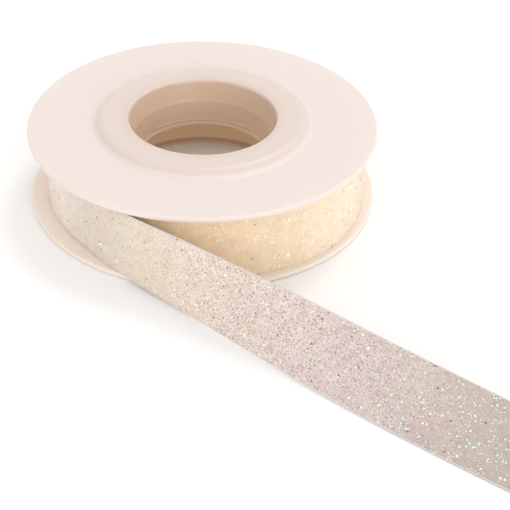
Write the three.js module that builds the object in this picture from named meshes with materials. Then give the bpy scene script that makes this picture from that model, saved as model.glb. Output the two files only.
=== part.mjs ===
// A roll of glitter ribbon. A two-part moulded spool lies on its lower flange, the ribbon is
// wound between the flanges, and its loose end runs off along +X. The end leaves the winding
// upright on its edge, then leans back step by step until it lies almost flat on the table.
import * as THREE from 'three';

// Sizes in millimetres. The spool's axis is upright, and the table is at height 0.
const RIBBON_WIDTH = 15;
const RIBBON_SHEET = 1;
const GAP = 0.3;
const FLANGE_RADIUS = 39;
const FLANGE_THICKNESS = 1.2;
const FLANGE_EDGE_ROUND = 0.4;
const HUB_RADIUS = 22;
const HOLLOW_RADIUS = 20.7;
const SEGMENTS_AROUND = 72;
const SEGMENTS_PER_CURVE = 2;

// Heights that follow from the stack: flange, ribbon, flange, with a gap at each side
const WOUND_BASE = FLANGE_THICKNESS + GAP;
const WOUND_TOP = WOUND_BASE + RIBBON_WIDTH;
const UPPER_FLANGE_BASE = WOUND_TOP + GAP;
const UPPER_FLANGE_TOP = UPPER_FLANGE_BASE + FLANGE_THICKNESS;

// The upper half's broad collar, with sloped sides, round the mouth of the bore
const COLLAR_FOOT_RADIUS = 24.4;
const COLLAR_RADIUS = 23.2;
const COLLAR_EDGE_DROP = 0.45;
const COLLAR_EDGE_WIDTH = 1.1;
const COLLAR_HEIGHT = 1.65;
const MOUTH_RADIUS = 16.6;
const MOUTH_ROUND = 0.45;

// The upper half's peg narrows to a shoulder on its way down to the ledge
const PEG_RADIUS = 16.9;
const SHOULDER_HEIGHT = 14.8;
const SHOULDER_RADIUS = 15.62;
const SHOULDER_STEP = 0.22;
const UPPER_JOINT_RADIUS = 15.2;

// The lower half's hub carries a web half-way up, whose edge is the ledge under the peg
const JOINT_HEIGHT = 9.4;
const LEDGE_RADIUS = 14.4;
const LEDGE_CHAMFER = 0.3;
const LEDGE_EDGE = 0.9;
const WEB_RADIUS = 14.6;
const WEB_BASE = 8;
const FOOT_ROUND = 0.4;

// The winding's outline, one full turn round from the place where the loose end leaves
const FOOT_AZIMUTH = -105;
const TAIL_FOOT_RADIUS = 35.3;
const WOUND_ROWS = [
  { turn: 0, radius: TAIL_FOOT_RADIUS - RIBBON_SHEET - GAP },
  { turn: 10, radius: 33.98 },
  { turn: 20, radius: 34.5 },
  { turn: 40, radius: 35.6 },
  { turn: 75, radius: 36.9 },
  { turn: 95, radius: 37.4 },
  { turn: 145, radius: 36.4 },
  { turn: 200, radius: 36.1 },
  { turn: 260, radius: 36.0 },
  { turn: 310, radius: 35.7 },
  { turn: 345, radius: 35.1 },
  { turn: 360, radius: TAIL_FOOT_RADIUS },
];

// The loose end, by length along it: heading in plan, lean back from upright, and the height
// of its lower edge as a share of the height at which the winding starts
const TAIL_LENGTH = 121;
const TAIL_STEPS = 60;
const TAIL_ROWS = [
  { along: 0, heading: FOOT_AZIMUTH + 90, lean: 0, lift: 1 },
  { along: 12, heading: -8, lean: 2, lift: 0.99 },
  { along: 25, heading: -1, lean: 6, lift: 0.98 },
  { along: 45, heading: -1.2, lean: 16.5, lift: 0.62 },
  { along: 65, heading: -0.4, lean: 30, lift: 0.3 },
  { along: 85, heading: 2.2, lean: 43, lift: 0.1 },
  { along: 105, heading: 4, lean: 52, lift: 0.02 },
  { along: TAIL_LENGTH, heading: 5, lean: 58, lift: 0 },
];

const radians = THREE.MathUtils.degToRad;

// Returns a function that reads one column of a table as a smooth curve through its rows
function smoothColumn(rows, key, column) {
  const x = rows.map((row) => row[key]);
  const y = rows.map((row) => row[column]);
  const step = x.slice(1).map((value, i) => value - x[i]);
  const rise = step.map((value, i) => (y[i + 1] - y[i]) / value);
  const slope = y.map((_, i) => {
    if (i === 0) return rise[0];
    if (i === y.length - 1) return rise[i - 1];
    return (rise[i] * step[i - 1] + rise[i - 1] * step[i]) / (step[i] + step[i - 1]);
  });
  return (at) => {
    const last = x.length - 2;
    let i = 0;
    while (i < last && at >= x[i + 1]) i += 1;
    const h = step[i];
    const u = (at - x[i]) / h;
    const start = (1 + 2 * u) * (1 - u) ** 2 * y[i] + u * (1 - u) ** 2 * h * slope[i];
    const end = u * u * (3 - 2 * u) * y[i + 1] + u * u * (u - 1) * h * slope[i + 1];
    return start + end;
  };
}

// Turns a closed outline of radius and height about the upright axis
function turned(outline) {
  const points = outline.getPoints(SEGMENTS_PER_CURVE);
  const geometry = new THREE.LatheGeometry(points, SEGMENTS_AROUND);
  geometry.rotateX(Math.PI / 2);
  return geometry;
}

// Carries an outline round a flange's outer edge, from its lower face to its upper face
function flangeEdge(outline, base) {
  const centre = FLANGE_RADIUS - FLANGE_EDGE_ROUND;
  const low = base + FLANGE_EDGE_ROUND;
  const high = base + FLANGE_THICKNESS - FLANGE_EDGE_ROUND;
  outline.lineTo(centre, base);
  outline.absarc(centre, low, FLANGE_EDGE_ROUND, -Math.PI / 2, 0, false);
  outline.absarc(centre, high, FLANGE_EDGE_ROUND, 0, Math.PI / 2, false);
}

function upperHalf() {
  const jointBase = JOINT_HEIGHT + GAP;
  const collarTop = UPPER_FLANGE_TOP + COLLAR_HEIGHT;
  const edgeStart = COLLAR_RADIUS - COLLAR_EDGE_WIDTH;
  const edgeCorner = COLLAR_RADIUS - COLLAR_EDGE_WIDTH / 3;
  const outline = new THREE.Path();
  outline.moveTo(UPPER_JOINT_RADIUS, jointBase);
  outline.lineTo(PEG_RADIUS, jointBase);
  outline.lineTo(PEG_RADIUS, UPPER_FLANGE_BASE);
  flangeEdge(outline, UPPER_FLANGE_BASE);
  outline.lineTo(COLLAR_FOOT_RADIUS, UPPER_FLANGE_TOP);
  outline.lineTo(COLLAR_RADIUS, collarTop - COLLAR_EDGE_DROP);
  outline.quadraticCurveTo(edgeCorner, collarTop, edgeStart, collarTop);
  outline.lineTo(MOUTH_RADIUS + MOUTH_ROUND, collarTop);
  outline.quadraticCurveTo(MOUTH_RADIUS, collarTop, MOUTH_RADIUS, collarTop - MOUTH_ROUND);
  outline.lineTo(SHOULDER_RADIUS, SHOULDER_HEIGHT);
  outline.lineTo(SHOULDER_RADIUS - SHOULDER_STEP, SHOULDER_HEIGHT - SHOULDER_STEP);
  outline.lineTo(UPPER_JOINT_RADIUS, jointBase);
  return turned(outline);
}

function lowerHalf() {
  const outline = new THREE.Path();
  outline.moveTo(HOLLOW_RADIUS + FOOT_ROUND, 0);
  flangeEdge(outline, 0);
  outline.lineTo(HUB_RADIUS, FLANGE_THICKNESS);
  outline.lineTo(HUB_RADIUS, WOUND_TOP);
  outline.lineTo(HOLLOW_RADIUS, WOUND_TOP);
  outline.lineTo(HOLLOW_RADIUS, JOINT_HEIGHT);
  outline.lineTo(LEDGE_RADIUS + LEDGE_CHAMFER, JOINT_HEIGHT);
  outline.lineTo(LEDGE_RADIUS, JOINT_HEIGHT - LEDGE_CHAMFER);
  outline.lineTo(WEB_RADIUS, JOINT_HEIGHT - LEDGE_EDGE);
  outline.lineTo(HOLLOW_RADIUS, WEB_BASE);
  outline.lineTo(HOLLOW_RADIUS, FOOT_ROUND);
  outline.quadraticCurveTo(HOLLOW_RADIUS, 0, HOLLOW_RADIUS + FOOT_ROUND, 0);
  return turned(outline);
}

// One solid for all the turns: an uneven round that steps in where the loose end leaves it
function woundForm() {
  const radiusAt = smoothColumn(WOUND_ROWS, 'turn', 'radius');
  const outer = [];
  for (let i = 0; i <= SEGMENTS_AROUND; i += 1) {
    const turn = (360 * i) / SEGMENTS_AROUND;
    const angle = radians(FOOT_AZIMUTH + turn);
    const radius = radiusAt(turn);
    outer.push(new THREE.Vector2(radius * Math.cos(angle), radius * Math.sin(angle)));
  }
  const core = new THREE.Path();
  core.absarc(0, 0, HUB_RADIUS + GAP, 0, 2 * Math.PI, true);
  const outline = new THREE.Shape(outer);
  outline.holes.push(core);
  const geometry = new THREE.ExtrudeGeometry(outline, {
    depth: RIBBON_WIDTH,
    bevelEnabled: false,
    curveSegments: SEGMENTS_AROUND / 2,
  });
  geometry.translate(0, 0, WOUND_BASE);
  return geometry;
}

// Walks along the loose end and returns the four corners of the sheet at each step
function tailSections() {
  const headingAt = smoothColumn(TAIL_ROWS, 'along', 'heading');
  const leanAt = smoothColumn(TAIL_ROWS, 'along', 'lean');
  const liftAt = smoothColumn(TAIL_ROWS, 'along', 'lift');
  const stride = (TAIL_LENGTH - GAP) / TAIL_STEPS;
  const foot = radians(FOOT_AZIMUTH);
  const start = radians(headingAt(0));
  let x = TAIL_FOOT_RADIUS * Math.cos(foot) + GAP * Math.cos(start);
  let y = TAIL_FOOT_RADIUS * Math.sin(foot) + GAP * Math.sin(start);
  const sections = [];
  for (let i = 0; i <= TAIL_STEPS; i += 1) {
    const along = GAP + i * stride;
    const heading = radians(headingAt(along));
    const lean = radians(leanAt(along));
    const back = new THREE.Vector3(-Math.sin(heading), Math.cos(heading), 0);
    const up = new THREE.Vector3(0, 0, 1);
    const across = up.clone().multiplyScalar(Math.cos(lean)).addScaledVector(back, Math.sin(lean));
    const through = back.clone().multiplyScalar(Math.cos(lean)).addScaledVector(up, -Math.sin(lean));
    const edge = WOUND_BASE * liftAt(along) + RIBBON_SHEET * Math.sin(lean);
    const frontLow = new THREE.Vector3(x, y, edge);
    const frontHigh = frontLow.clone().addScaledVector(across, RIBBON_WIDTH);
    const backHigh = frontHigh.clone().addScaledVector(through, RIBBON_SHEET);
    const backLow = frontLow.clone().addScaledVector(through, RIBBON_SHEET);
    sections.push([frontLow, frontHigh, backHigh, backLow]);
    const middle = radians(headingAt(along + stride / 2));
    x += stride * Math.cos(middle);
    y += stride * Math.sin(middle);
  }
  return sections;
}

// Skins the corner rows of the sections into one closed sheet
function tailSheet() {
  const sections = tailSections();
  const corners = sections[0].length;
  const positions = sections.flat().flatMap((point) => [point.x, point.y, point.z]);
  const faces = [];
  for (let i = 0; i < sections.length - 1; i += 1) {
    for (let k = 0; k < corners; k += 1) {
      const a = i * corners + k;
      const b = i * corners + ((k + 1) % corners);
      faces.push(a, a + corners, b, b, a + corners, b + corners);
    }
  }
  const last = (sections.length - 1) * corners;
  faces.push(0, 1, 2, 0, 2, 3);
  faces.push(last, last + 2, last + 1, last, last + 3, last + 2);
  const geometry = new THREE.BufferGeometry();
  geometry.setAttribute('position', new THREE.Float32BufferAttribute(positions, 3));
  geometry.setIndex(faces);
  geometry.computeVertexNormals();
  return geometry;
}

function spoolPlastic() {
  return new THREE.MeshStandardMaterial({ color: 0xf1e5de, roughness: 0.35, metalness: 0 });
}

function woundGlitter() {
  return new THREE.MeshStandardMaterial({ color: 0xefdcc4, roughness: 0.6, metalness: 0 });
}

function looseGlitter() {
  return new THREE.MeshStandardMaterial({ color: 0xe0d2ca, roughness: 0.6, metalness: 0 });
}

function piece(name, geometry, material) {
  const mesh = new THREE.Mesh(geometry, material);
  mesh.name = name;
  return mesh;
}

// The origin is on the table, under the middle of the whole roll and its loose end
function centred(group) {
  group.updateMatrixWorld(true);
  const box = new THREE.Box3().setFromObject(group);
  const middle = box.getCenter(new THREE.Vector3());
  group.position.set(-middle.x, -middle.y, -box.min.z);
  return group;
}

const roll = new THREE.Group();
roll.add(piece('spool_lower_half', lowerHalf(), spoolPlastic()));
roll.add(piece('spool_upper_half', upperHalf(), spoolPlastic()));
roll.add(piece('wound_ribbon', woundForm(), woundGlitter()));
roll.add(piece('ribbon_tail', tailSheet(), looseGlitter()));

export default centred(roll);
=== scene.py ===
# %% [markdown]
# # A roll of glitter ribbon
# A two-part plastic spool lies on its side. About thirty turns of narrow glitter ribbon are wound
# between its flanges, and the ribbon's loose end runs off to one side and leans back towards the
# table. The script loads the exact solids first, and then dresses each of them: turned spool
# halves, a true spiral of thin ribbon, the loose end as a thin sheet, and thousands of flakes.

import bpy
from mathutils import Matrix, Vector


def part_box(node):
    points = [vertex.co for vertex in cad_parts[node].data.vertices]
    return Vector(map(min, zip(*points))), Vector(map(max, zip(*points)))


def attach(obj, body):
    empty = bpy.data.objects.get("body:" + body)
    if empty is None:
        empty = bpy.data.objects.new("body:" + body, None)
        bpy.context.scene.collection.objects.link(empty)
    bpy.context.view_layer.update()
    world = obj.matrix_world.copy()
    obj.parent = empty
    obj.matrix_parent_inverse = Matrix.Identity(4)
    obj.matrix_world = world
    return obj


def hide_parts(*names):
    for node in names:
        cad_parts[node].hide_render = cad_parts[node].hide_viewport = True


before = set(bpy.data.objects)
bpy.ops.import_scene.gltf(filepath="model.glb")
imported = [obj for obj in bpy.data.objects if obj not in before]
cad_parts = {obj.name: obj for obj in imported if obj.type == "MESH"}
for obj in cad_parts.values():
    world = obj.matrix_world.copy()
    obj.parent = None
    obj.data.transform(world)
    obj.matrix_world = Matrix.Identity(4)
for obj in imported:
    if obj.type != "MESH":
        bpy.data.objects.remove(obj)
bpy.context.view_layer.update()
print("solids", sorted(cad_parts))

# %% [markdown]
# Everything that follows is measured from the spool. Its axis stands upright, so the middle of the
# lower flange gives the place of the axis, and the boxes of the solids give the flange's radius and
# the heights between which the ribbon lies. The solids keep 0.3 mm apart, but real ribbon lies on
# the flange, so it is let down by most of that gap.

# %% Measure the spool
import bpy
import math
from mathutils import Matrix, Vector

MM = 0.001
lower_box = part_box("spool_lower_half")
upper_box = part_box("spool_upper_half")
wound_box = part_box("wound_ribbon")
AXIS = (lower_box[0] + lower_box[1]) / 2
AXIS.z = 0.0
FLANGE_RADIUS = (lower_box[1].x - lower_box[0].x) / 2
CLEARANCE = 0.29 * MM
WOUND_BASE = wound_box[0].z - CLEARANCE
RIBBON_WIDTH = wound_box[1].z - wound_box[0].z
COLLAR_TOP = upper_box[1].z
print("axis", tuple(AXIS), "flange radius", FLANGE_RADIUS, "ribbon width", RIBBON_WIDTH)

# %% [markdown]
# The camera comes next, because it decides how fine everything has to be. A long lens from about
# 35 cm away, looking down at 35 degrees, shows both flanges as nearly equal ovals. The three
# numbers of its aim are a turn round the vertical, a tilt down and a small roll. A reader could
# aim a camera with a Track To constraint instead, but then the roll would be lost.

# %% Camera
VIEW_TURN = math.radians(43)
CAMERA_BACK = 290.6 * MM
CAMERA_HEIGHT = 187.77 * MM
CAMERA_YAW = 0.0423
CAMERA_TILT = 0.6172
CAMERA_ROLL = 0.0225
LENS_PER_SENSOR = 2.94
SENSOR_WIDTH = 36
NEAREST_SEEN = 10 * MM

turn = Matrix.Rotation(VIEW_TURN, 3, "Z")
forward = Vector((math.sin(CAMERA_YAW) * math.cos(CAMERA_TILT),
                  math.cos(CAMERA_YAW) * math.cos(CAMERA_TILT),
                  -math.sin(CAMERA_TILT)))
level = Vector((math.cos(CAMERA_YAW), -math.sin(CAMERA_YAW), 0))
above = level.cross(forward)
right = level * math.cos(CAMERA_ROLL) + above * math.sin(CAMERA_ROLL)
up = above * math.cos(CAMERA_ROLL) - level * math.sin(CAMERA_ROLL)
axes = Matrix((turn @ right, turn @ up, turn @ -forward)).transposed()

camera_data = bpy.data.cameras.new("camera")
camera = bpy.data.objects.new("camera", camera_data)
bpy.context.scene.collection.objects.link(camera)
bpy.context.scene.camera = camera
camera_data.sensor_width = SENSOR_WIDTH
camera_data.lens = LENS_PER_SENSOR * SENSOR_WIDTH
camera_data.clip_start = NEAREST_SEEN
camera_place = turn @ Vector((0, -CAMERA_BACK, CAMERA_HEIGHT)) + AXIS
camera.matrix_world = Matrix.Translation(camera_place) @ axes.to_4x4()
print("camera", tuple(round(c, 4) for c in camera_place), "lens", camera_data.lens)

# %% [markdown]
# The table is one pale sheet, and the light is that of a photographer's tent: nearly all of it comes
# evenly from everywhere. It reaches deep under the flange and leaves only a narrow soft shadow
# along the loose end. A weak key light behind the roll widens that shadow towards the viewer, and
# a low fill light from the front brightens the upright winding without touching the table much.

# %% Table
TABLE_SIZE = 3.0
TABLE_COLOUR = (0.99, 0.99, 0.99)
TABLE_ROUGHNESS = 0.9


def link(name, mesh):
    piece = bpy.data.objects.new(name, mesh)
    bpy.context.scene.collection.objects.link(piece)
    return piece


def plain_material(name, colour, roughness):
    material = bpy.data.materials.new(name)
    material.use_nodes = True
    shader = material.node_tree.nodes["Principled BSDF"]
    shader.inputs["Base Color"].default_value = (*colour, 1)
    shader.inputs["Roughness"].default_value = roughness
    return material, shader


table_mesh = bpy.data.meshes.new("table")
half = TABLE_SIZE / 2
table_corners = [(-half, -half, 0), (half, -half, 0), (half, half, 0), (-half, half, 0)]
table_mesh.from_pydata(table_corners, [], [(0, 1, 2, 3)])
table = link("table", table_mesh)
table_finish, shader = plain_material("table finish", TABLE_COLOUR, TABLE_ROUGHNESS)
shader.inputs["Specular IOR Level"].default_value = 0.0
table.data.materials.append(table_finish)
print("table", TABLE_SIZE, "m across")

# %% Sky and two soft lights
SKY_STRENGTH = 0.92
LIGHT_DISTANCE = 1.2
KEY_AZIMUTH = math.radians(105)
KEY_ELEVATION = math.radians(60)
KEY_SIZE = 0.35
KEY_POWER = 2.2
KEY_COLOUR = (1, 0.985, 0.96)
FILL_AZIMUTH = math.radians(-22)
FILL_ELEVATION = math.radians(13)
FILL_SIZE = 0.4
FILL_POWER = 3.4
FILL_COLOUR = (1, 0.985, 0.95)

world = bpy.data.worlds.new("studio")
world.use_nodes = True
sky = world.node_tree.nodes["Background"]
sky.inputs["Color"].default_value = (1, 1, 1, 1)
sky.inputs["Strength"].default_value = SKY_STRENGTH
bpy.context.scene.world = world
bpy.context.scene.view_settings.view_transform = "Standard"


def soft_light(name, azimuth, elevation, size, power, colour):
    data = bpy.data.lights.new(name, "AREA")
    data.shape = "DISK"
    data.size = size
    data.energy = power
    data.color = colour
    light = link(name, data)
    way = Vector((math.cos(azimuth) * math.cos(elevation), math.sin(azimuth) * math.cos(elevation),
                  math.sin(elevation)))
    light.location = way * LIGHT_DISTANCE
    light.rotation_euler = way.to_track_quat("Z", "Y").to_euler()


soft_light("key light", KEY_AZIMUTH, KEY_ELEVATION, KEY_SIZE, KEY_POWER, KEY_COLOUR)
soft_light("low fill", FILL_AZIMUTH, FILL_ELEVATION, FILL_SIZE, FILL_POWER, FILL_COLOUR)
print("sky", SKY_STRENGTH, "key", KEY_POWER, "W, fill", FILL_POWER, "W")

# %% [markdown]
# ## Shared finishes
# Two effects are used by several materials, so each is a shader node group that is built once.
# The first is the grain of fine glitter dust: a Voronoi texture splits the surface into cells the
# size of one grain, and the random colour of each cell decides whether that grain is dark, plain,
# pink, mint or bright. The second is the ribbed weave of the ribbon's cloth, which shows where no
# glitter is glued on: its back and its two narrow margins.

# %% Small helpers for node trees
def socket(group, name, kind, way="INPUT", value=None):
    made = group.interface.new_socket(name=name, in_out=way, socket_type=kind)
    if value is not None:
        made.default_value = value
    return made


def add(tree, kind, **settings):
    node = tree.nodes.new(kind)
    for key, value in settings.items():
        setattr(node, key, value)
    return node


def wire(tree, *pairs):
    for source, target in pairs:
        tree.links.new(source, target)


def maths(tree, operation, *values):
    node = add(tree, "ShaderNodeMath", operation=operation)
    for slot, value in zip(node.inputs, values):
        if isinstance(value, (int, float)):
            slot.default_value = value
        else:
            tree.links.new(value, slot)
    return node.outputs[0]


def noise(tree, place, scale):
    node = add(tree, "ShaderNodeTexNoise")
    node.inputs["Scale"].default_value = scale
    tree.links.new(place, node.inputs["Vector"])
    return node.outputs["Fac"]


def between(tree, value, low, high):
    """Turns a value from 0 to 1 into one from low to high"""
    node = add(tree, "ShaderNodeMapRange")
    node.inputs["To Min"].default_value = low
    node.inputs["To Max"].default_value = high
    tree.links.new(value, node.inputs["Value"])
    return node.outputs[0]


def ramp(tree, value, stops, interpolation="LINEAR"):
    node = add(tree, "ShaderNodeValToRGB")
    node.color_ramp.interpolation = interpolation
    points = node.color_ramp.elements
    while len(points) < len(stops):
        points.new(0.5)
    for point, (place, colour) in zip(points, stops):
        point.position = place
        point.color = (*colour, 1)
    tree.links.new(value, node.inputs["Fac"])
    return node.outputs["Color"]


def mixed(tree, share, first, second, blend="MIX"):
    node = add(tree, "ShaderNodeMix", data_type="RGBA", blend_type=blend)
    for slot, value in zip((node.inputs[0], node.inputs[6], node.inputs[7]), (share, first, second)):
        if isinstance(value, (int, float)):
            slot.default_value = value
        elif isinstance(value, tuple):
            slot.default_value = (*value, 1)
        else:
            tree.links.new(value, slot)
    return node.outputs[2]


# %% Group: the grain of glitter dust
GRAINS_PER_METRE = 4500.0
SMOOTHEST_GRAIN = 0.3
GRAIN_ROUGHNESS_RANGE = 0.5
PLAIN_CONTRAST = 0.6
GRAIN_TINTS = (
    # share of the grains from which this tint holds, tint
    (0.00, (0.56, 0.46, 0.50)),
    (0.06, (0.78, 0.70, 0.73)),
    (0.17, (0.98, 0.88, 0.93)),
    (0.30, (0.91, 0.92, 0.90)),
    (0.47, (1.00, 1.00, 1.00)),
    (0.74, (1.04, 1.05, 1.02)),
    (0.88, (1.13, 1.15, 1.13)),
    (0.95, (1.26, 1.28, 1.26)),
)


def dust_group():
    group = bpy.data.node_groups.new("glitter dust", "ShaderNodeTree")
    socket(group, "Vector", "NodeSocketVector")
    socket(group, "Cloth Color", "NodeSocketColor")
    socket(group, "Grains per Metre", "NodeSocketFloat", value=GRAINS_PER_METRE)
    socket(group, "Contrast", "NodeSocketFloat", value=PLAIN_CONTRAST)
    socket(group, "Color", "NodeSocketColor", "OUTPUT")
    socket(group, "Roughness", "NodeSocketFloat", "OUTPUT")
    socket(group, "Height", "NodeSocketFloat", "OUTPUT")
    start = add(group, "NodeGroupInput")
    end = add(group, "NodeGroupOutput")
    cells = add(group, "ShaderNodeTexVoronoi", voronoi_dimensions="3D", feature="F1")
    wire(group, (start.outputs["Vector"], cells.inputs["Vector"]),
         (start.outputs["Grains per Metre"], cells.inputs["Scale"]))
    lot = add(group, "ShaderNodeSeparateColor")
    wire(group, (cells.outputs["Color"], lot.inputs[0]))
    tint = ramp(group, lot.outputs[0], GRAIN_TINTS, "CONSTANT")
    tinted = mixed(group, 1.0, start.outputs["Cloth Color"], tint, "MULTIPLY")
    colour = mixed(group, start.outputs["Contrast"], start.outputs["Cloth Color"], tinted)
    rough = maths(group, "MULTIPLY_ADD", lot.outputs[1], GRAIN_ROUGHNESS_RANGE, SMOOTHEST_GRAIN)
    wire(group, (colour, end.inputs["Color"]), (rough, end.inputs["Roughness"]),
         (lot.outputs[2], end.inputs["Height"]))
    return group


DUST = dust_group()

# %% Group: the ribbed weave
RIBS_PER_METRE = 2200.0
WEAVE_SHADES = (
    # height in the weave, tint; the low parts of the weave are painted shade
    (0.0, (0.86, 0.85, 0.84)),
    (1.0, (1.0, 1.0, 1.0)),
)


def weave_group():
    group = bpy.data.node_groups.new("ribbed weave", "ShaderNodeTree")
    socket(group, "Along", "NodeSocketFloat")
    socket(group, "Across", "NodeSocketFloat")
    socket(group, "Cloth Color", "NodeSocketColor")
    socket(group, "Color", "NodeSocketColor", "OUTPUT")
    socket(group, "Height", "NodeSocketFloat", "OUTPUT")
    start = add(group, "NodeGroupInput")
    end = add(group, "NodeGroupOutput")
    waves = []
    for side, shift in (("Along", 0.0), ("Across", math.pi / 2)):
        scaled = maths(group, "MULTIPLY_ADD", start.outputs[side], RIBS_PER_METRE * 2 * math.pi, shift)
        waves.append(maths(group, "SINE", scaled))
    height = maths(group, "MULTIPLY_ADD", maths(group, "MULTIPLY", waves[0], waves[1]), 0.5, 0.5)
    shade = ramp(group, height, WEAVE_SHADES)
    colour = mixed(group, 1.0, start.outputs["Cloth Color"], shade, "MULTIPLY")
    wire(group, (colour, end.inputs["Color"]), (height, end.inputs["Height"]))
    return group


WEAVE = weave_group()
print("shared groups", DUST.name, "and", WEAVE.name)

# %% [markdown]
# ## The spool
# The real spool is moulded in two halves that push together half-way down the bore. Each half is
# round everywhere, so it could be a cylinder with loops cut in, or a profile that is spun. A spun
# profile is the better choice, because every radius can be read in one table. The corners
# of the profile are rounded by small arcs, as a mould leaves them, and catch a fine highlight.

# %% Helpers that round the corners of a profile
LARGEST_SHARE_OF_SIDE = 0.45


def smooth_corner(before, corner, after, reach, steps=4):
    reach = min(reach, (before - corner).length * LARGEST_SHARE_OF_SIDE,
                (after - corner).length * LARGEST_SHARE_OF_SIDE)
    start = corner + (before - corner).normalized() * reach
    end = corner + (after - corner).normalized() * reach
    for i in range(steps + 1):
        t = i / steps
        yield start * (1 - t) ** 2 + corner * 2 * t * (1 - t) + end * t * t


def rounded_profile(rows):
    """Points of the profile, and the tint at each of them, which mostly paints light and shade on the
    plastic
    """
    corners = [Vector((radius * MM, height * MM)) for radius, height, _, _ in rows]
    points, tints = [], []
    for i, (_, _, reach, tint) in enumerate(rows):
        after = corners[(i + 1) % len(rows)]
        rounded = list(smooth_corner(corners[i - 1], corners[i], after, reach * MM))
        points += rounded
        tints += [tint] * len(rounded)
    return points, tints


# %% Profiles of the two halves
FLANGE = FLANGE_RADIUS / MM
RIM_TOP = 18.0
COLLAR_HEIGHT = COLLAR_TOP / MM
PEG = 16.9
HUB = 22.0
HOLLOW = 20.7
PLAIN = (1.00, 1.00, 1.00)
MILKY = (0.92, 0.89, 0.85)
# Painted shade: the lip, the mouth and the bore's walls are darker and browner.
LIP_SHADE = (0.88, 0.82, 0.76)
MOUTH_SHADE = (0.80, 0.69, 0.54)
BORE_SHADE = (0.84, 0.72, 0.56)
# Painted light: the foot of the bore is lighter, as light thrown back by the ledge.
BORE_FOOT_LIGHT = (1.15, 0.98, 0.77)
# Painted shade: the ledge is darker and browner.
LEDGE_SHADE = (0.80, 0.67, 0.50)
SHADED = (0.80, 0.62, 0.54)
GLOWING = (1.18, 1.00, 0.74)
# Painted light: the lower flange's upper face is lighter and warmer, as light bounced off the ribbon
# into the shade under the upper flange.
FLANGE_BOUNCE_LIGHT = (1.12, 1.10, 1.05)
UPPER_ROWS = (
    # radius, height, reach of the rounded corner, tint (mostly painted light and shade)
    (15.18, 9.43, 0.02, BORE_FOOT_LIGHT),
    (PEG, 9.43, 0.12, BORE_FOOT_LIGHT),
    (PEG, 16.80, 0.30, PLAIN),
    (FLANGE, 16.80, 0.40, PLAIN),
    (FLANGE, RIM_TOP, 0.45, PLAIN),
    (24.40, RIM_TOP, 0.60, PLAIN),
    (23.20, 19.20, 0.50, MILKY),
    (22.30, COLLAR_HEIGHT, 0.60, MILKY),
    (20.00, COLLAR_HEIGHT, 1.00, MILKY),
    (16.60, COLLAR_HEIGHT, 0.75, LIP_SHADE),
    (16.35, 18.40, 0.40, MOUTH_SHADE),
    (15.64, 15.00, 0.35, BORE_SHADE),
    (15.42, 14.40, 0.35, BORE_SHADE),
    (15.34, 12.60, 0.25, BORE_SHADE),
    (15.24, 12.15, 0.25, BORE_SHADE),
    (15.16, 10.75, 0.25, BORE_SHADE),
)
LOWER_ROWS = (
    (HOLLOW, 0.00, 0.40, GLOWING),
    (FLANGE, 0.00, 0.45, PLAIN),
    (FLANGE, 1.20, 0.40, FLANGE_BOUNCE_LIGHT),
    (HUB, 1.20, 0.30, FLANGE_BOUNCE_LIGHT),
    (HUB, 16.70, 0.12, PLAIN),
    (HOLLOW, 16.70, 0.12, PLAIN),
    (HOLLOW, 9.40, 0.10, BORE_SHADE),
    (14.75, 9.40, 0.25, LEDGE_SHADE),
    (14.40, 9.00, 0.25, LEDGE_SHADE),
    (14.60, 8.50, 0.10, LEDGE_SHADE),
    (HOLLOW, 8.00, 0.80, GLOWING),
    (HOLLOW, 2.20, 0.30, GLOWING),
    (HOLLOW, 1.00, 0.30, SHADED),
)
print("corners of the upper half", len(UPPER_ROWS), "and of the lower half", len(LOWER_ROWS))

# %% Turn the two halves
SEGMENTS = 256
CM3_PER_M3 = 1e6
FLAT_FACE_WEIGHT = 100


def turned(name, rows):
    profile, tints = rounded_profile(rows)
    count = len(profile)
    vertices, colours = [], []
    for i in range(SEGMENTS):
        angle = 2 * math.pi * i / SEGMENTS
        x_share, y_share = math.cos(angle), math.sin(angle)
        for point, tint in zip(profile, tints):
            vertices.append((AXIS.x + point.x * x_share, AXIS.y + point.x * y_share, point.y))
            colours += (*tint, 1.0)
    faces = []
    for i in range(SEGMENTS):
        here, there = i * count, ((i + 1) % SEGMENTS) * count
        for k in range(count):
            n = (k + 1) % count
            faces.append((here + k, there + k, there + n, here + n))
    mesh = bpy.data.meshes.new(name)
    mesh.from_pydata(vertices, [], faces)
    # The tint attribute carries the profile's painted light and shade onto the vertices.
    mesh.attributes.new("tint", "FLOAT_COLOR", "POINT").data.foreach_set("color", colours)
    mesh.polygons.foreach_set("use_smooth", [True] * len(mesh.polygons))
    return link(name, mesh)


def even_shading(piece):
    """Keeps wide flat faces flat, so that only their narrow rounded edges catch the light"""
    piece.modifiers.new("shading", "WEIGHTED_NORMAL").weight = FLAT_FACE_WEIGHT


upper_half = turned("upper_spool_half", UPPER_ROWS)
lower_half = turned("lower_spool_half", LOWER_ROWS)


def signed_volume(mesh):
    total = 0.0
    mesh.calc_loop_triangles()
    for triangle in mesh.loop_triangles:
        a, b, c = (mesh.vertices[i].co - AXIS for i in triangle.vertices)
        total += a.dot(b.cross(c)) / 6
    return total


for half_piece in (upper_half, lower_half):
    volume = signed_volume(half_piece.data)
    if volume < 0:
        half_piece.data.flip_normals()
    even_shading(half_piece)
    print(half_piece.name, "faces", len(half_piece.data.polygons),
          "plastic", round(abs(volume) * CM3_PER_M3, 2), "cm3")

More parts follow.
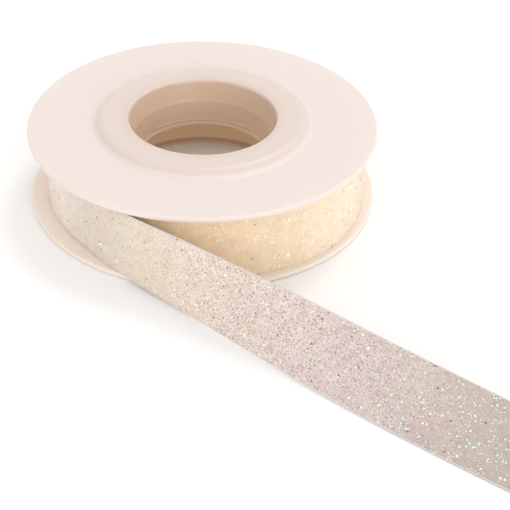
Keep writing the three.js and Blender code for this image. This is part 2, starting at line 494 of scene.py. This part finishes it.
# %% [markdown]
# The plastic is a warm white with a slight milkiness: a little light passes through it, which
# subsurface scattering gives. Moulded plastic is never one even colour, so a wide soft noise
# changes its tint by one or two parts in a hundred. The collar round the bore looks milkier. The
# other tints are painted light and shade: the lip, the mouth, the bore's walls, the ledge and a band
# at the foot of the hollow hub are painted darker and browner, as shade; the foot of the bore is
# painted lighter, as light thrown back by the ledge; the lower flange's upper face is painted lighter
# and peachy, as light bounced off the ribbon on it; and the hollow hub is painted with a glow where
# light soaks through its thin wall. The real plastic is likely one colour, and most of these tints
# are light that the lamps here don't give, painted instead: the profile's table has a column of
# tints, set against the photograph, which becomes a colour on the vertices, the same all the way round.

# %% Finish of the spool
PLASTIC_COOL = (0.832, 0.730, 0.698)
PLASTIC_WARM = (0.822, 0.727, 0.667)
DRIFT_SCALE = 22.0
SATIN = (0.32, 0.44)
SKIN_SCALE = 900.0
SKIN_DEPTH = 0.02 * MM
SKIN_STRENGTH = 0.12
SOAKED_SHARE = 0.4
SOAK_DEPTH = 1.5 * MM
SOAK_COLOUR = (1.0, 0.6, 0.4)


def spool_finish():
    material = bpy.data.materials.new("warm white plastic")
    material.use_nodes = True
    tree = material.node_tree
    shader = tree.nodes["Principled BSDF"]
    place = add(tree, "ShaderNodeTexCoord").outputs["Object"]
    base = mixed(tree, noise(tree, place, DRIFT_SCALE), PLASTIC_COOL, PLASTIC_WARM)
    # The profile's tints, mostly painted light and shade, multiply the plastic's colour.
    tint = add(tree, "ShaderNodeAttribute", attribute_name="tint")
    colour = mixed(tree, 1.0, base, tint.outputs["Color"], "MULTIPLY")
    skin = noise(tree, place, SKIN_SCALE)
    bump = add(tree, "ShaderNodeBump")
    bump.inputs["Distance"].default_value = SKIN_DEPTH
    bump.inputs["Strength"].default_value = SKIN_STRENGTH
    wire(tree, (skin, bump.inputs["Height"]), (bump.outputs[0], shader.inputs["Normal"]),
         (colour, shader.inputs["Base Color"]),
         (between(tree, skin, *SATIN), shader.inputs["Roughness"]))
    shader.inputs["Subsurface Weight"].default_value = SOAKED_SHARE
    shader.inputs["Subsurface Radius"].default_value = SOAK_COLOUR
    shader.inputs["Subsurface Scale"].default_value = SOAK_DEPTH
    return material


PLASTIC = spool_finish()
for half_piece, node in ((upper_half, "spool_upper_half"), (lower_half, "spool_lower_half")):
    half_piece.data.materials.append(PLASTIC)
    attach(half_piece, "root")
    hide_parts(node)

# %% [markdown]
# ## The winding
# The wound ribbon is one long strip in about thirty turns. The outline isn't a true circle: the
# strip lies slack in places, which a short table of radii gives, one full turn round from the
# place where the loose end leaves. A smooth curve through the rows of a table is used for the
# loose end as well, so it is a helper.

# %% Tables of the winding and the loose end
def smooth_column(rows, column):
    xs = [row[0] for row in rows]
    ys = [row[column] for row in rows]
    steps = [b - a for a, b in zip(xs, xs[1:])]
    rises = [(b - a) / step for a, b, step in zip(ys, ys[1:], steps)]
    slopes = [rises[0]]
    for i in range(1, len(xs) - 1):
        slopes.append((rises[i] * steps[i - 1] + rises[i - 1] * steps[i]) / (steps[i] + steps[i - 1]))
    slopes.append(rises[-1])

    def value(at):
        i = 0
        while i < len(xs) - 2 and at >= xs[i + 1]:
            i += 1
        h = steps[i]
        u = (at - xs[i]) / h
        first = (1 + 2 * u) * (1 - u) ** 2 * ys[i] + u * (1 - u) ** 2 * h * slopes[i]
        second = u * u * (3 - 2 * u) * ys[i + 1] + u * u * (u - 1) * h * slopes[i + 1]
        return first + second

    return value


THICKNESS = 0.4 * MM
FOOT_AZIMUTH = -105.0
FOOT_RADIUS = 35.3
PITCH = 0.42
GAP = 0.3
CORE_RADIUS = HUB + GAP
WOUND_ROWS = (
    # degrees round from the foot of the loose end, outer radius in millimetres
    (0, FOOT_RADIUS - PITCH),
    (20, 35.1),
    (40, 35.6),
    (75, 36.9),
    (95, 37.4),
    (145, 36.4),
    (200, 36.1),
    (260, 36.0),
    (310, 35.7),
    (345, 35.1),
    (360, FOOT_RADIUS),
)
TURNS = round((FOOT_RADIUS - CORE_RADIUS) / PITCH)
outer_radius = smooth_column(WOUND_ROWS, 1)
print("turns", TURNS)

# %% [markdown]
# Geometry Nodes make the winding, because it follows a rule: a flat grid, as long as all the
# turns, is bent into a spiral. Each point's place along the grid gives its turn and angle, and a
# Float Curve node holds the uneven outline. The named inputs are the sizes that a
# ribbon maker would quote. The sheet then gets its thickness from a Solidify modifier.

# %% Helpers that store a ribbon's map and run a tree
def store_map(tree, geometry, name, uv):
    kept = add(tree, "GeometryNodeStoreNamedAttribute", data_type="FLOAT2", domain="CORNER")
    kept.inputs["Name"].default_value = name
    wire(tree, (geometry, kept.inputs["Geometry"]), (uv, kept.inputs["Value"]))
    return kept.outputs[0]


def run_tree(piece, tree, values):
    """Runs a tree on a piece, with its named inputs set, and keeps the result as a plain mesh"""
    modifier = piece.modifiers.new("nodes", "NODES")
    modifier.node_group = tree
    for item in tree.interface.items_tree:
        if item.in_out == "INPUT" and item.name in values:
            modifier[item.identifier] = values[item.name]
    made = bpy.data.meshes.new_from_object(piece.evaluated_get(bpy.context.evaluated_depsgraph_get()))
    piece.modifiers.remove(modifier)
    made.name = piece.name
    piece.data = made
    return piece


# %% Node tree that winds a ribbon
STEPS_PER_TURN = 150
LARGEST_RADIUS = 40.0
CURVE_STEP = 10


def outline_curve(tree, value):
    node = add(tree, "ShaderNodeFloatCurve")
    curve = node.mapping.curves[0]
    curve.points[0].location = (0, outer_radius(0) / LARGEST_RADIUS)
    curve.points[1].location = (1, outer_radius(360) / LARGEST_RADIUS)
    for degrees in range(CURVE_STEP, 360, CURVE_STEP):
        curve.points.new(degrees / 360, outer_radius(degrees) / LARGEST_RADIUS)
    node.mapping.update()
    wire(tree, (value, node.inputs["Value"]))
    return maths(tree, "MULTIPLY", node.outputs[0], LARGEST_RADIUS * MM)


def winding_tree():
    tree = bpy.data.node_groups.new("wind ribbon", "GeometryNodeTree")
    socket(tree, "Geometry", "NodeSocketGeometry", "OUTPUT")
    for name in ("Turns", "Core Radius", "Ribbon Width", "Base Height"):
        socket(tree, name, "NodeSocketFloat")
    socket(tree, "Steps per Turn", "NodeSocketInt")
    socket(tree, "Material", "NodeSocketMaterial")
    start = add(tree, "NodeGroupInput")
    end = add(tree, "NodeGroupOutput")
    turns = start.outputs["Turns"]
    grid = add(tree, "GeometryNodeMeshGrid")
    for name, value in (("Size X", 1.0), ("Size Y", 1.0), ("Vertices Y", 2)):
        grid.inputs[name].default_value = value
    count = maths(tree, "ADD", maths(tree, "MULTIPLY", turns, start.outputs["Steps per Turn"]), 1)
    wire(tree, (count, grid.inputs["Vertices X"]))
    place = add(tree, "ShaderNodeSeparateXYZ")
    wire(tree, (add(tree, "GeometryNodeInputPosition").outputs[0], place.inputs[0]))
    along = maths(tree, "MULTIPLY", maths(tree, "ADD", place.outputs[0], 0.5), turns)
    across = maths(tree, "ADD", place.outputs[1], 0.5)
    this_turn = maths(tree, "FRACT", along)
    outer = outline_curve(tree, this_turn)
    layers = maths(tree, "SUBTRACT", turns, 1.0)
    inward = maths(tree, "SUBTRACT", layers, maths(tree, "FLOOR", along))
    pitch = maths(tree, "DIVIDE", maths(tree, "SUBTRACT", outer, start.outputs["Core Radius"]),
                  maths(tree, "ADD", layers, this_turn))
    radius = maths(tree, "SUBTRACT", outer, maths(tree, "MULTIPLY", inward, pitch))
    angle = maths(tree, "ADD", maths(tree, "MULTIPLY", along, 2 * math.pi), math.radians(FOOT_AZIMUTH))
    moved = add(tree, "ShaderNodeCombineXYZ")
    x = maths(tree, "ADD", maths(tree, "MULTIPLY", radius, maths(tree, "COSINE", angle)), AXIS.x)
    y = maths(tree, "ADD", maths(tree, "MULTIPLY", radius, maths(tree, "SINE", angle)), AXIS.y)
    z = maths(tree, "ADD", maths(tree, "MULTIPLY", across, start.outputs["Ribbon Width"]),
              start.outputs["Base Height"])
    bent = add(tree, "GeometryNodeSetPosition")
    wire(tree, (x, moved.inputs[0]), (y, moved.inputs[1]), (z, moved.inputs[2]),
         (grid.outputs["Mesh"], bent.inputs["Geometry"]), (moved.outputs[0], bent.inputs["Position"]))
    mapped = store_map(tree, bent.outputs[0], "ribbon", grid.outputs["UV Map"])
    smooth = add(tree, "GeometryNodeSetShadeSmooth")
    realized = add(tree, "GeometryNodeRealizeInstances")
    painted = add(tree, "GeometryNodeSetMaterial")
    wire(tree, (mapped, smooth.inputs[0]), (smooth.outputs[0], realized.inputs[0]),
         (realized.outputs[0], painted.inputs["Geometry"]),
         (start.outputs["Material"], painted.inputs["Material"]), (painted.outputs[0], end.inputs[0]))
    return tree


WIND = winding_tree()
print("tree", WIND.name, "nodes", len(WIND.nodes))

# %% [markdown]
# ## The ribbon's finish
# One builder makes the material of both lengths of ribbon. The glittered face is cream cloth under
# the grain of dust. Its tone drifts slowly: the winding goes from pinkish beige to a warm yellow
# cream, and the loose end from cream to a greyer pink. The drift is partly the dust's own change of
# colour at another slope, and partly painted light and shade: lighter and darker stretches that
# stand for how the light falls. The rows of both tables were corrected, one stretch of ribbon after
# another, until the render came near the photograph, so they follow it closely. The map named ribbon
# gives the way along and across, so the two plain margins and the plain back show the weave.

# %% Finish of the ribbon
MARGIN = 0.2 * MM
RAGGED = 0.15 * MM
WANDER_SCALE = 1400.0
DUST_DEPTH = 0.04 * MM
DUST_STRENGTH = 0.5
RIBBON_SPECULAR = 0.4
BLUSH_TINTS = (
    # noise, tint of the patch
    (0.42, (1.01, 1.01, 1.00)),
    (0.56, (1.00, 0.98, 0.99)),
    (0.70, (0.99, 0.93, 0.98)),
)
BLUSH_SCALE = 110.0
MOTTLE_TINTS = (
    (0.35, (0.96, 0.96, 0.96)),
    (0.65, (1.04, 1.04, 1.04)),
)
MOTTLE_SCALE = 520.0


def ribbon_finish(name, length, share_of, rows, cloth):
    """share_of builds the nodes that give the place in the table of rows"""
    tones = [(share, tone) for share, tone, _ in rows]
    contrasts = [(share, (contrast,) * 3) for share, _, contrast in rows]
    material = bpy.data.materials.new(name)
    material.use_nodes = True
    tree = material.node_tree
    shader = tree.nodes["Principled BSDF"]
    place = add(tree, "ShaderNodeTexCoord").outputs["Object"]
    ribbon_map = add(tree, "ShaderNodeUVMap", uv_map="ribbon")
    split = add(tree, "ShaderNodeSeparateXYZ")
    wire(tree, (ribbon_map.outputs[0], split.inputs[0]))
    along = maths(tree, "MULTIPLY", split.outputs[0], length)
    across = maths(tree, "MULTIPLY", split.outputs[1], RIBBON_WIDTH)
    from_edge = maths(tree, "MINIMUM", across, maths(tree, "SUBTRACT", RIBBON_WIDTH, across))
    wander = noise(tree, place, WANDER_SCALE)
    ragged = maths(tree, "ADD", from_edge, maths(tree, "MULTIPLY", wander, -RAGGED))
    glued = add(tree, "ShaderNodeMapRange")
    glued.inputs["From Min"].default_value = MARGIN - RAGGED
    glued.inputs["From Max"].default_value = MARGIN
    wire(tree, (ragged, glued.inputs["Value"]))
    dust = add(tree, "ShaderNodeGroup", node_tree=DUST)
    weave = add(tree, "ShaderNodeGroup", node_tree=WEAVE)
    weave.inputs["Cloth Color"].default_value = (*cloth, 1)
    share = share_of(tree, split.outputs[0], place)
    tone = ramp(tree, share, tones)
    for scale, tints in ((BLUSH_SCALE, BLUSH_TINTS), (MOTTLE_SCALE, MOTTLE_TINTS)):
        tone = mixed(tree, 1.0, tone, ramp(tree, noise(tree, place, scale), tints), "MULTIPLY")
    wire(tree, (place, dust.inputs["Vector"]), (tone, dust.inputs["Cloth Color"]),
         (ramp(tree, share, contrasts), dust.inputs["Contrast"]),
         (along, weave.inputs["Along"]), (across, weave.inputs["Across"]))
    colour = mixed(tree, glued.outputs[0], weave.outputs["Color"], dust.outputs["Color"])
    bump = add(tree, "ShaderNodeBump")
    bump.inputs["Distance"].default_value = DUST_DEPTH
    bump.inputs["Strength"].default_value = DUST_STRENGTH
    height = add(tree, "ShaderNodeMix", data_type="FLOAT")
    wire(tree, (glued.outputs[0], height.inputs[0]), (weave.outputs["Height"], height.inputs[2]),
         (dust.outputs["Height"], height.inputs[3]), (height.outputs[0], bump.inputs["Height"]),
         (colour, shader.inputs["Base Color"]),
         (dust.outputs["Roughness"], shader.inputs["Roughness"]),
         (bump.outputs[0], shader.inputs["Normal"]))
    shader.inputs["Specular IOR Level"].default_value = RIBBON_SPECULAR
    return material


# %% Tones of the winding and the loose end
WOUND_TONES = (
    # share of a turn from the foot of the loose end, tone (partly painted light and shade), contrast of
    # the dust
    # the first two rows are raised, to make up for a corner that the lamps leave dark
    (0.00, (1.00, 0.820, 0.590), 0.30),
    (0.12, (1.00, 0.815, 0.575), 0.29),
    (0.155, (0.93, 0.745, 0.520), 0.28),
    (0.24, (0.86, 0.705, 0.510), 0.24),
    (0.32, (0.94, 0.775, 0.610), 0.08),
    (0.40, (0.96, 0.790, 0.610), 0.03),
    (0.60, (0.89, 0.750, 0.630), 0.08),
    (1.00, (0.88, 0.785, 0.688), 0.12),
)
LOOSE_TONES = (
    # share of the loose end's length, tone (partly painted light and shade), contrast of the dust
    (0.00, (0.880, 0.785, 0.688), 0.12),
    (0.07, (0.758, 0.678, 0.579), 0.16),
    (0.22, (0.800, 0.695, 0.560), 0.18),
    (0.28, (0.821, 0.700, 0.574), 0.35),
    (0.33, (0.865, 0.735, 0.615), 0.90),
    (0.44, (0.792, 0.692, 0.588), 1.00),
    (0.54, (0.760, 0.652, 0.598), 1.00),
    (0.64, (0.712, 0.587, 0.558), 1.00),
    (0.75, (0.650, 0.561, 0.508), 0.75),
    (0.87, (0.562, 0.482, 0.424), 0.36),
    (1.00, (0.490, 0.440, 0.378), 0.24),
)
# Both cloths are one ribbon: the winding's is painted lighter and warmer, as light over the shade along
# its edges.
WOUND_CLOTH_PAINTED_LIGHTER = (0.90, 0.79, 0.66)
LOOSE_CLOTH = (0.80, 0.73, 0.69)


def share_of_turn(tree, share, place):
    """Share of a turn round the axis, from the foot of the loose end"""
    centre = add(tree, "ShaderNodeVectorMath", operation="SUBTRACT")
    centre.inputs[1].default_value = AXIS
    split = add(tree, "ShaderNodeSeparateXYZ")
    wire(tree, (place, centre.inputs[0]), (centre.outputs[0], split.inputs[0]))
    angle = maths(tree, "ARCTAN2", split.outputs[1], split.outputs[0])
    from_foot = maths(tree, "SUBTRACT", angle, math.radians(FOOT_AZIMUTH))
    turned_by = maths(tree, "DIVIDE", from_foot, 2 * math.pi)
    return maths(tree, "FRACT", maths(tree, "ADD", turned_by, 1.0))


def share_of_length(tree, share, place):
    """Share of the length, which the ribbon's own map already gives"""
    return share


WOUND_LENGTH = math.pi * TURNS * (FOOT_RADIUS + CORE_RADIUS) * MM
LOOSE_LENGTH = 121 * MM
WOUND_FINISH = ribbon_finish("wound glitter", WOUND_LENGTH, share_of_turn, WOUND_TONES, WOUND_CLOTH_PAINTED_LIGHTER)
LOOSE_FINISH = ribbon_finish("loose glitter", LOOSE_LENGTH, share_of_length, LOOSE_TONES, LOOSE_CLOTH)
print("wound length", round(WOUND_LENGTH, 3), "m")

# %% Wind the ribbon
winding = run_tree(link("wound_glitter_ribbon", bpy.data.meshes.new("wound")), WIND, {
    "Turns": float(TURNS), "Core Radius": CORE_RADIUS * MM, "Ribbon Width": RIBBON_WIDTH,
    "Base Height": WOUND_BASE, "Steps per Turn": STEPS_PER_TURN, "Material": WOUND_FINISH})
body = winding.modifiers.new("thickness", "SOLIDIFY")
body.thickness = THICKNESS
body.offset = -1
even_shading(winding)
print("winding faces", len(winding.data.polygons))
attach(winding, "root")
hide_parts("wound_ribbon")

# %% [markdown]
# ## The loose end
# The loose end leaves the winding upright on its edge, bends to the line on which it runs off, and
# leans back more and more. A path in plan with a heading, a lean and a lift at each step says all of
# that, so the sheet is laid out from a table, as the solid was. A cloth simulation would also let it
# fall, but the place of every stretch of it is known here.

# %% Lay out the loose end
LOOSE_ROWS = (
    # millimetres along, heading in plan, lean back from upright, share of the full height
    (0, FOOT_AZIMUTH + 90, 0, 1),
    (12, -8, 2, 0.99),
    (25, -1, 6, 0.98),
    (45, -1.2, 16.5, 0.62),
    (65, -0.4, 30, 0.3),
    (85, 2.2, 43, 0.1),
    (105, 4, 52, 0.02),
    (121, 5, 58, 0),
)
LOOSE_STEPS = 242
STRIPS_ACROSS = 12
heading_at, lean_at, lift_at = (smooth_column(LOOSE_ROWS, column) for column in (1, 2, 3))


def loose_sections(thickness):
    """Lower front corner of the sheet and its two directions, at even steps along it"""
    stride = LOOSE_LENGTH / LOOSE_STEPS
    foot = math.radians(FOOT_AZIMUTH)
    point = AXIS + Vector((math.cos(foot), math.sin(foot), 0)) * FOOT_RADIUS * MM
    for i in range(LOOSE_STEPS + 1):
        along = i * stride / MM
        heading, lean = math.radians(heading_at(along)), math.radians(lean_at(along))
        back = Vector((-math.sin(heading), math.cos(heading), 0))
        across = Vector((0, 0, 1)) * math.cos(lean) + back * math.sin(lean)
        through = back * math.cos(lean) - Vector((0, 0, 1)) * math.sin(lean)
        point.z = WOUND_BASE * lift_at(along) + thickness * math.sin(lean)
        yield i / LOOSE_STEPS, point.copy(), across, through
        middle = math.radians(heading_at(along + stride / MM / 2))
        point += Vector((math.cos(middle), math.sin(middle), 0)) * stride


def strip(name, rows, reaches):
    """A sheet of quads, one row of points for each section, with its map and its share along"""
    width = len(reaches)
    vertices = [tuple(corner + across * reach) for _, corner, across, _ in rows for reach in reaches]
    faces = []
    for i in range(len(rows) - 1):
        for k in range(width - 1):
            a = i * width + k
            faces.append((a, a + width, a + width + 1, a + 1))
    mesh = bpy.data.meshes.new(name)
    mesh.from_pydata(vertices, [], faces)
    ribbon_map = mesh.uv_layers.new(name="ribbon")
    for loop in mesh.loops:
        row, k = divmod(loop.vertex_index, width)
        ribbon_map.data[loop.index].uv = (rows[row][0], reaches[k] / RIBBON_WIDTH)
    share = mesh.attributes.new("along", "FLOAT", "POINT")
    share.data.foreach_set("value", [row[0] for row in rows for _ in reaches])
    mesh.polygons.foreach_set("use_smooth", [True] * len(mesh.polygons))
    return mesh


def evenly(first, last, count):
    return [first + (last - first) * i / count for i in range(count + 1)]


loose_rows = list(loose_sections(THICKNESS))
loose_mesh = strip("loose end", loose_rows, evenly(0, RIBBON_WIDTH, STRIPS_ACROSS))
loose_end = link("loose_ribbon_end", loose_mesh)
loose_end.data.materials.append(LOOSE_FINISH)
body = loose_end.modifiers.new("thickness", "SOLIDIFY")
body.thickness = THICKNESS
body.offset = -1
even_shading(loose_end)
front = loose_end.data.polygons[0].normal
print("loose end faces", len(loose_end.data.polygons), "front faces", tuple(round(c, 2) for c in front))

# %% [markdown]
# ## The flakes
# The dust carries larger flakes, cut as small hexagons. Each is a flat six-sided plate with its
# underside drawn to a point, so that it is a closed form of only seven faces, and it is half sunk
# in the glue at a slight random tilt. A particle system could scatter them, but Geometry Nodes keep
# the rule in one tree that is run once for each colour, with its own density, size and seed. The
# plates lie on a bed, which is the glittered face alone, without the margins.

# %% Node tree that scatters flakes
def random_value(tree, low, high, seed):
    node = add(tree, "FunctionNodeRandomValue", data_type="FLOAT")
    for slot, value in zip(node.inputs[2:4], (low, high)):
        if isinstance(value, float):
            slot.default_value = value
        else:
            wire(tree, (value, slot))
    wire(tree, (seed, node.inputs["Seed"]))
    return node.outputs[1]


FAR_SHARES = (0.50, 0.80)
SPARSEST_SHARE = 0.12
PATCH_SCALE = 260.0
FLAKE_PATCHES = (("From Min", 0.4), ("From Max", 0.65), ("To Min", 0.0), ("To Max", 2.2))
FLAKE_SIDES = 6
FACES_PER_FLAKE = FLAKE_SIDES + 1
FLAKE_DEPTH = 0.5
FLAKE_SINK = 0.2
LEAN_SEED_STEP = 31
TURN_SEED_STEP = 57
SIZE_SEED_STEP = 83


def flake_tree():
    tree = bpy.data.node_groups.new("scatter flakes", "GeometryNodeTree")
    socket(tree, "Geometry", "NodeSocketGeometry")
    for name in ("Density Near", "Density Far", "Fade In", "Patchiness", "Smallest", "Largest", "Tilt"):
        socket(tree, name, "NodeSocketFloat")
    socket(tree, "Seed", "NodeSocketInt")
    socket(tree, "Material", "NodeSocketMaterial")
    socket(tree, "Geometry", "NodeSocketGeometry", "OUTPUT")
    start = add(tree, "NodeGroupInput")
    end = add(tree, "NodeGroupOutput")
    seed = start.outputs["Seed"]
    along = add(tree, "GeometryNodeInputNamedAttribute", data_type="FLOAT")
    along.inputs["Name"].default_value = "along"
    even = add(tree, "ShaderNodeMapRange", interpolation_type="SMOOTHSTEP")
    even.inputs["From Min"].default_value = FAR_SHARES[0]
    even.inputs["From Max"].default_value = FAR_SHARES[1]
    rising = add(tree, "ShaderNodeMapRange", interpolation_type="SMOOTHSTEP")
    rising.inputs["To Min"].default_value = SPARSEST_SHARE
    wire(tree, (along.outputs[0], even.inputs["Value"]),
         (start.outputs["Density Near"], even.inputs["To Min"]),
         (start.outputs["Density Far"], even.inputs["To Max"]),
         (along.outputs[0], rising.inputs["Value"]),
         (start.outputs["Fade In"], rising.inputs["From Max"]))
    even = maths(tree, "MULTIPLY", even.outputs[0], rising.outputs[0])
    patches = add(tree, "ShaderNodeTexNoise", noise_dimensions="4D")
    patches.inputs["Scale"].default_value = PATCH_SCALE
    patches.inputs["Detail"].default_value = 1.0
    wire(tree, (seed, patches.inputs["W"]))
    sharp = add(tree, "ShaderNodeMapRange")
    for name, value in FLAKE_PATCHES:
        sharp.inputs[name].default_value = value
    wire(tree, (patches.outputs["Fac"], sharp.inputs["Value"]))
    patchy = add(tree, "ShaderNodeMix", data_type="FLOAT")
    patchy.inputs[2].default_value = 1.0
    wire(tree, (start.outputs["Patchiness"], patchy.inputs[0]), (sharp.outputs[0], patchy.inputs[3]))
    scatter = add(tree, "GeometryNodeDistributePointsOnFaces")
    wire(tree, (start.outputs["Geometry"], scatter.inputs["Mesh"]), (seed, scatter.inputs["Seed"]),
         (maths(tree, "MULTIPLY", even, patchy.outputs[0]), scatter.inputs["Density"]))
    plate = add(tree, "GeometryNodeMeshCone", fill_type="NGON")
    for name, value in (("Vertices", FLAKE_SIDES), ("Radius Top", 1.0), ("Radius Bottom", 0.0),
                        ("Depth", FLAKE_DEPTH)):
        plate.inputs[name].default_value = value
    sunk = add(tree, "GeometryNodeTransform")
    sunk.inputs["Translation"].default_value = (0, 0, -FLAKE_SINK)
    tilt = start.outputs["Tilt"]
    lean = add(tree, "ShaderNodeCombineXYZ")
    minus = maths(tree, "MULTIPLY", tilt, -1.0)
    wire(tree, (random_value(tree, minus, tilt, seed), lean.inputs[0]),
         (random_value(tree, minus, tilt, maths(tree, "ADD", seed, LEAN_SEED_STEP)), lean.inputs[1]),
         (random_value(tree, 0.0, math.pi, maths(tree, "ADD", seed, TURN_SEED_STEP)), lean.inputs[2]))
    aim = add(tree, "FunctionNodeEulerToRotation")
    turned_plate = add(tree, "FunctionNodeRotateRotation", rotation_space="LOCAL")
    wire(tree, (lean.outputs[0], aim.inputs[0]),
         (scatter.outputs["Rotation"], turned_plate.inputs["Rotation"]),
         (aim.outputs[0], turned_plate.inputs["Rotate By"]))
    size_seed = maths(tree, "ADD", seed, SIZE_SEED_STEP)
    size = random_value(tree, start.outputs["Smallest"], start.outputs["Largest"], size_seed)
    placed = add(tree, "GeometryNodeInstanceOnPoints")
    realized = add(tree, "GeometryNodeRealizeInstances")
    painted = add(tree, "GeometryNodeSetMaterial")
    wire(tree, (plate.outputs["Mesh"], sunk.inputs[0]),
         (scatter.outputs["Points"], placed.inputs["Points"]),
         (sunk.outputs[0], placed.inputs["Instance"]),
         (turned_plate.outputs[0], placed.inputs["Rotation"]),
         (size, placed.inputs["Scale"]), (placed.outputs[0], realized.inputs[0]),
         (realized.outputs[0], painted.inputs["Geometry"]),
         (start.outputs["Material"], painted.inputs["Material"]), (painted.outputs[0], end.inputs[0]))
    return tree


FLAKES = flake_tree()
print("tree", FLAKES.name, "nodes", len(FLAKES.nodes))

# %% [markdown]
# The flakes are cut from pearly film, which throws back white, pink, lilac or mint light,
# and a few stray specks are dark or red. Each colour is a material with a plain base and a fine
# scratchy roughness.

# %% Finish of each colour of flake
FILM_METALLIC = 0.05
SCRATCH_SCALE = 3000.0
SCRATCH_SPREAD = 0.08


def flake_finish(name, colour, roughness):
    material, shader = plain_material(name + " flakes", colour, roughness)
    tree = material.node_tree
    place = add(tree, "ShaderNodeTexCoord").outputs["Object"]
    scratches = noise(tree, place, SCRATCH_SCALE)
    rough = between(tree, scratches, roughness - SCRATCH_SPREAD, roughness + SCRATCH_SPREAD)
    wire(tree, (rough, shader.inputs["Roughness"]))
    shader.inputs["Metallic"].default_value = FILM_METALLIC
    return material


# %% Table of the flakes
FLAKE_ROWS = (
    # name, colour, roughness, smallest, largest, patchiness, and flakes on a square millimetre
    # of the loose end, near and far, and of the winding, right and left of the foot
    ("pearl", (0.97, 0.95, 0.91), 0.30, 0.08, 0.14, 0.3, (1.50, 0.45), (0.10, 0.20)),
    ("blush", (0.82, 0.62, 0.67), 0.35, 0.08, 0.14, 0.9, (1.10, 0.50), (0.03, 0.08)),
    ("lilac", (0.74, 0.62, 0.74), 0.35, 0.08, 0.14, 0.9, (0.90, 0.40), (0.00, 0.04)),
    ("smoke", (0.42, 0.35, 0.37), 0.40, 0.07, 0.13, 0.5, (1.50, 0.45), (0.05, 0.04)),
    ("mint", (0.66, 0.84, 0.70), 0.25, 0.11, 0.29, 0.9, (0.00, 0.54), (0.04, 0.03)),
    ("straw", (1.00, 0.97, 0.72), 0.25, 0.11, 0.26, 0.8, (0.03, 0.16), (0.20, 0.04)),
    ("spark", (1.00, 0.99, 0.80), 0.25, 0.24, 0.42, 0.9, (0.05, 0.01), (0.11, 0.05)),
    ("dark", (0.06, 0.04, 0.04), 0.50, 0.11, 0.18, 0.0, (0.045, 0.015), (0.004, 0.002)),
    ("rust", (0.40, 0.05, 0.04), 0.45, 0.12, 0.20, 0.0, (0.018, 0.010), (0.005, 0.002)),
)
ON_LOOSE_END, ON_WINDING = 0, 1
PER_SQUARE_MM = 1e6
LOOSE_SEED = 100
WOUND_SEED = 200
LOOSE_FADE_IN = 0.40
WOUND_FADE_IN = 0.001
TILT = math.radians(24)


def scattered(name, bed, place, first_seed, fade_in):
    """Every colour of flake on one bed, joined into one piece"""
    parts = []
    for i, (kind, colour, roughness, smallest, largest, patchiness, *densities) in enumerate(FLAKE_ROWS):
        near, far = densities[place]
        finish = flake_finish(f"{name} {kind}", colour, roughness)
        part = run_tree(link(f"{name} {kind}", bed.copy()), FLAKES, {
            "Density Near": near * PER_SQUARE_MM, "Density Far": far * PER_SQUARE_MM,
            "Fade In": fade_in, "Patchiness": patchiness, "Smallest": smallest * MM,
            "Largest": largest * MM, "Tilt": TILT, "Seed": first_seed + i, "Material": finish})
        parts.append(part)
    with bpy.context.temp_override(active_object=parts[0], selected_editable_objects=parts):
        bpy.ops.object.join()
    parts[0].name = name
    return parts[0]


# %% Scatter the flakes on the loose end
loose_bed = strip("loose bed", loose_rows, evenly(MARGIN, RIBBON_WIDTH - MARGIN, STRIPS_ACROSS))
loose_flakes = scattered("loose_end_flakes", loose_bed, ON_LOOSE_END, LOOSE_SEED, LOOSE_FADE_IN)
print("loose end flakes", len(loose_flakes.data.polygons) // FACES_PER_FLAKE)
for piece in (loose_end, loose_flakes):
    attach(piece, "root")
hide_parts("ribbon_tail")

# %% [markdown]
# The winding's bed is its outermost turn. It is an upright strip round the axis, at the radius
# that the table of the outline gives.

# %% Scatter the flakes on the winding
WOUND_STRIPS = 4


def wound_rows(steps):
    for i in range(steps + 1):
        degrees = 360 * i / steps
        angle = math.radians(FOOT_AZIMUTH + degrees)
        way = Vector((math.cos(angle), math.sin(angle), 0))
        corner = AXIS + way * outer_radius(degrees) * MM + Vector((0, 0, WOUND_BASE))
        yield i / steps, corner, Vector((0, 0, 1)), -way


wound_reaches = evenly(MARGIN, RIBBON_WIDTH - MARGIN, WOUND_STRIPS)
wound_bed = strip("wound bed", list(wound_rows(STEPS_PER_TURN)), wound_reaches)
wound_flakes = scattered("winding_flakes", wound_bed, ON_WINDING, WOUND_SEED, WOUND_FADE_IN)
print("winding flakes", len(wound_flakes.data.polygons) // FACES_PER_FLAKE)
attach(wound_flakes, "root")
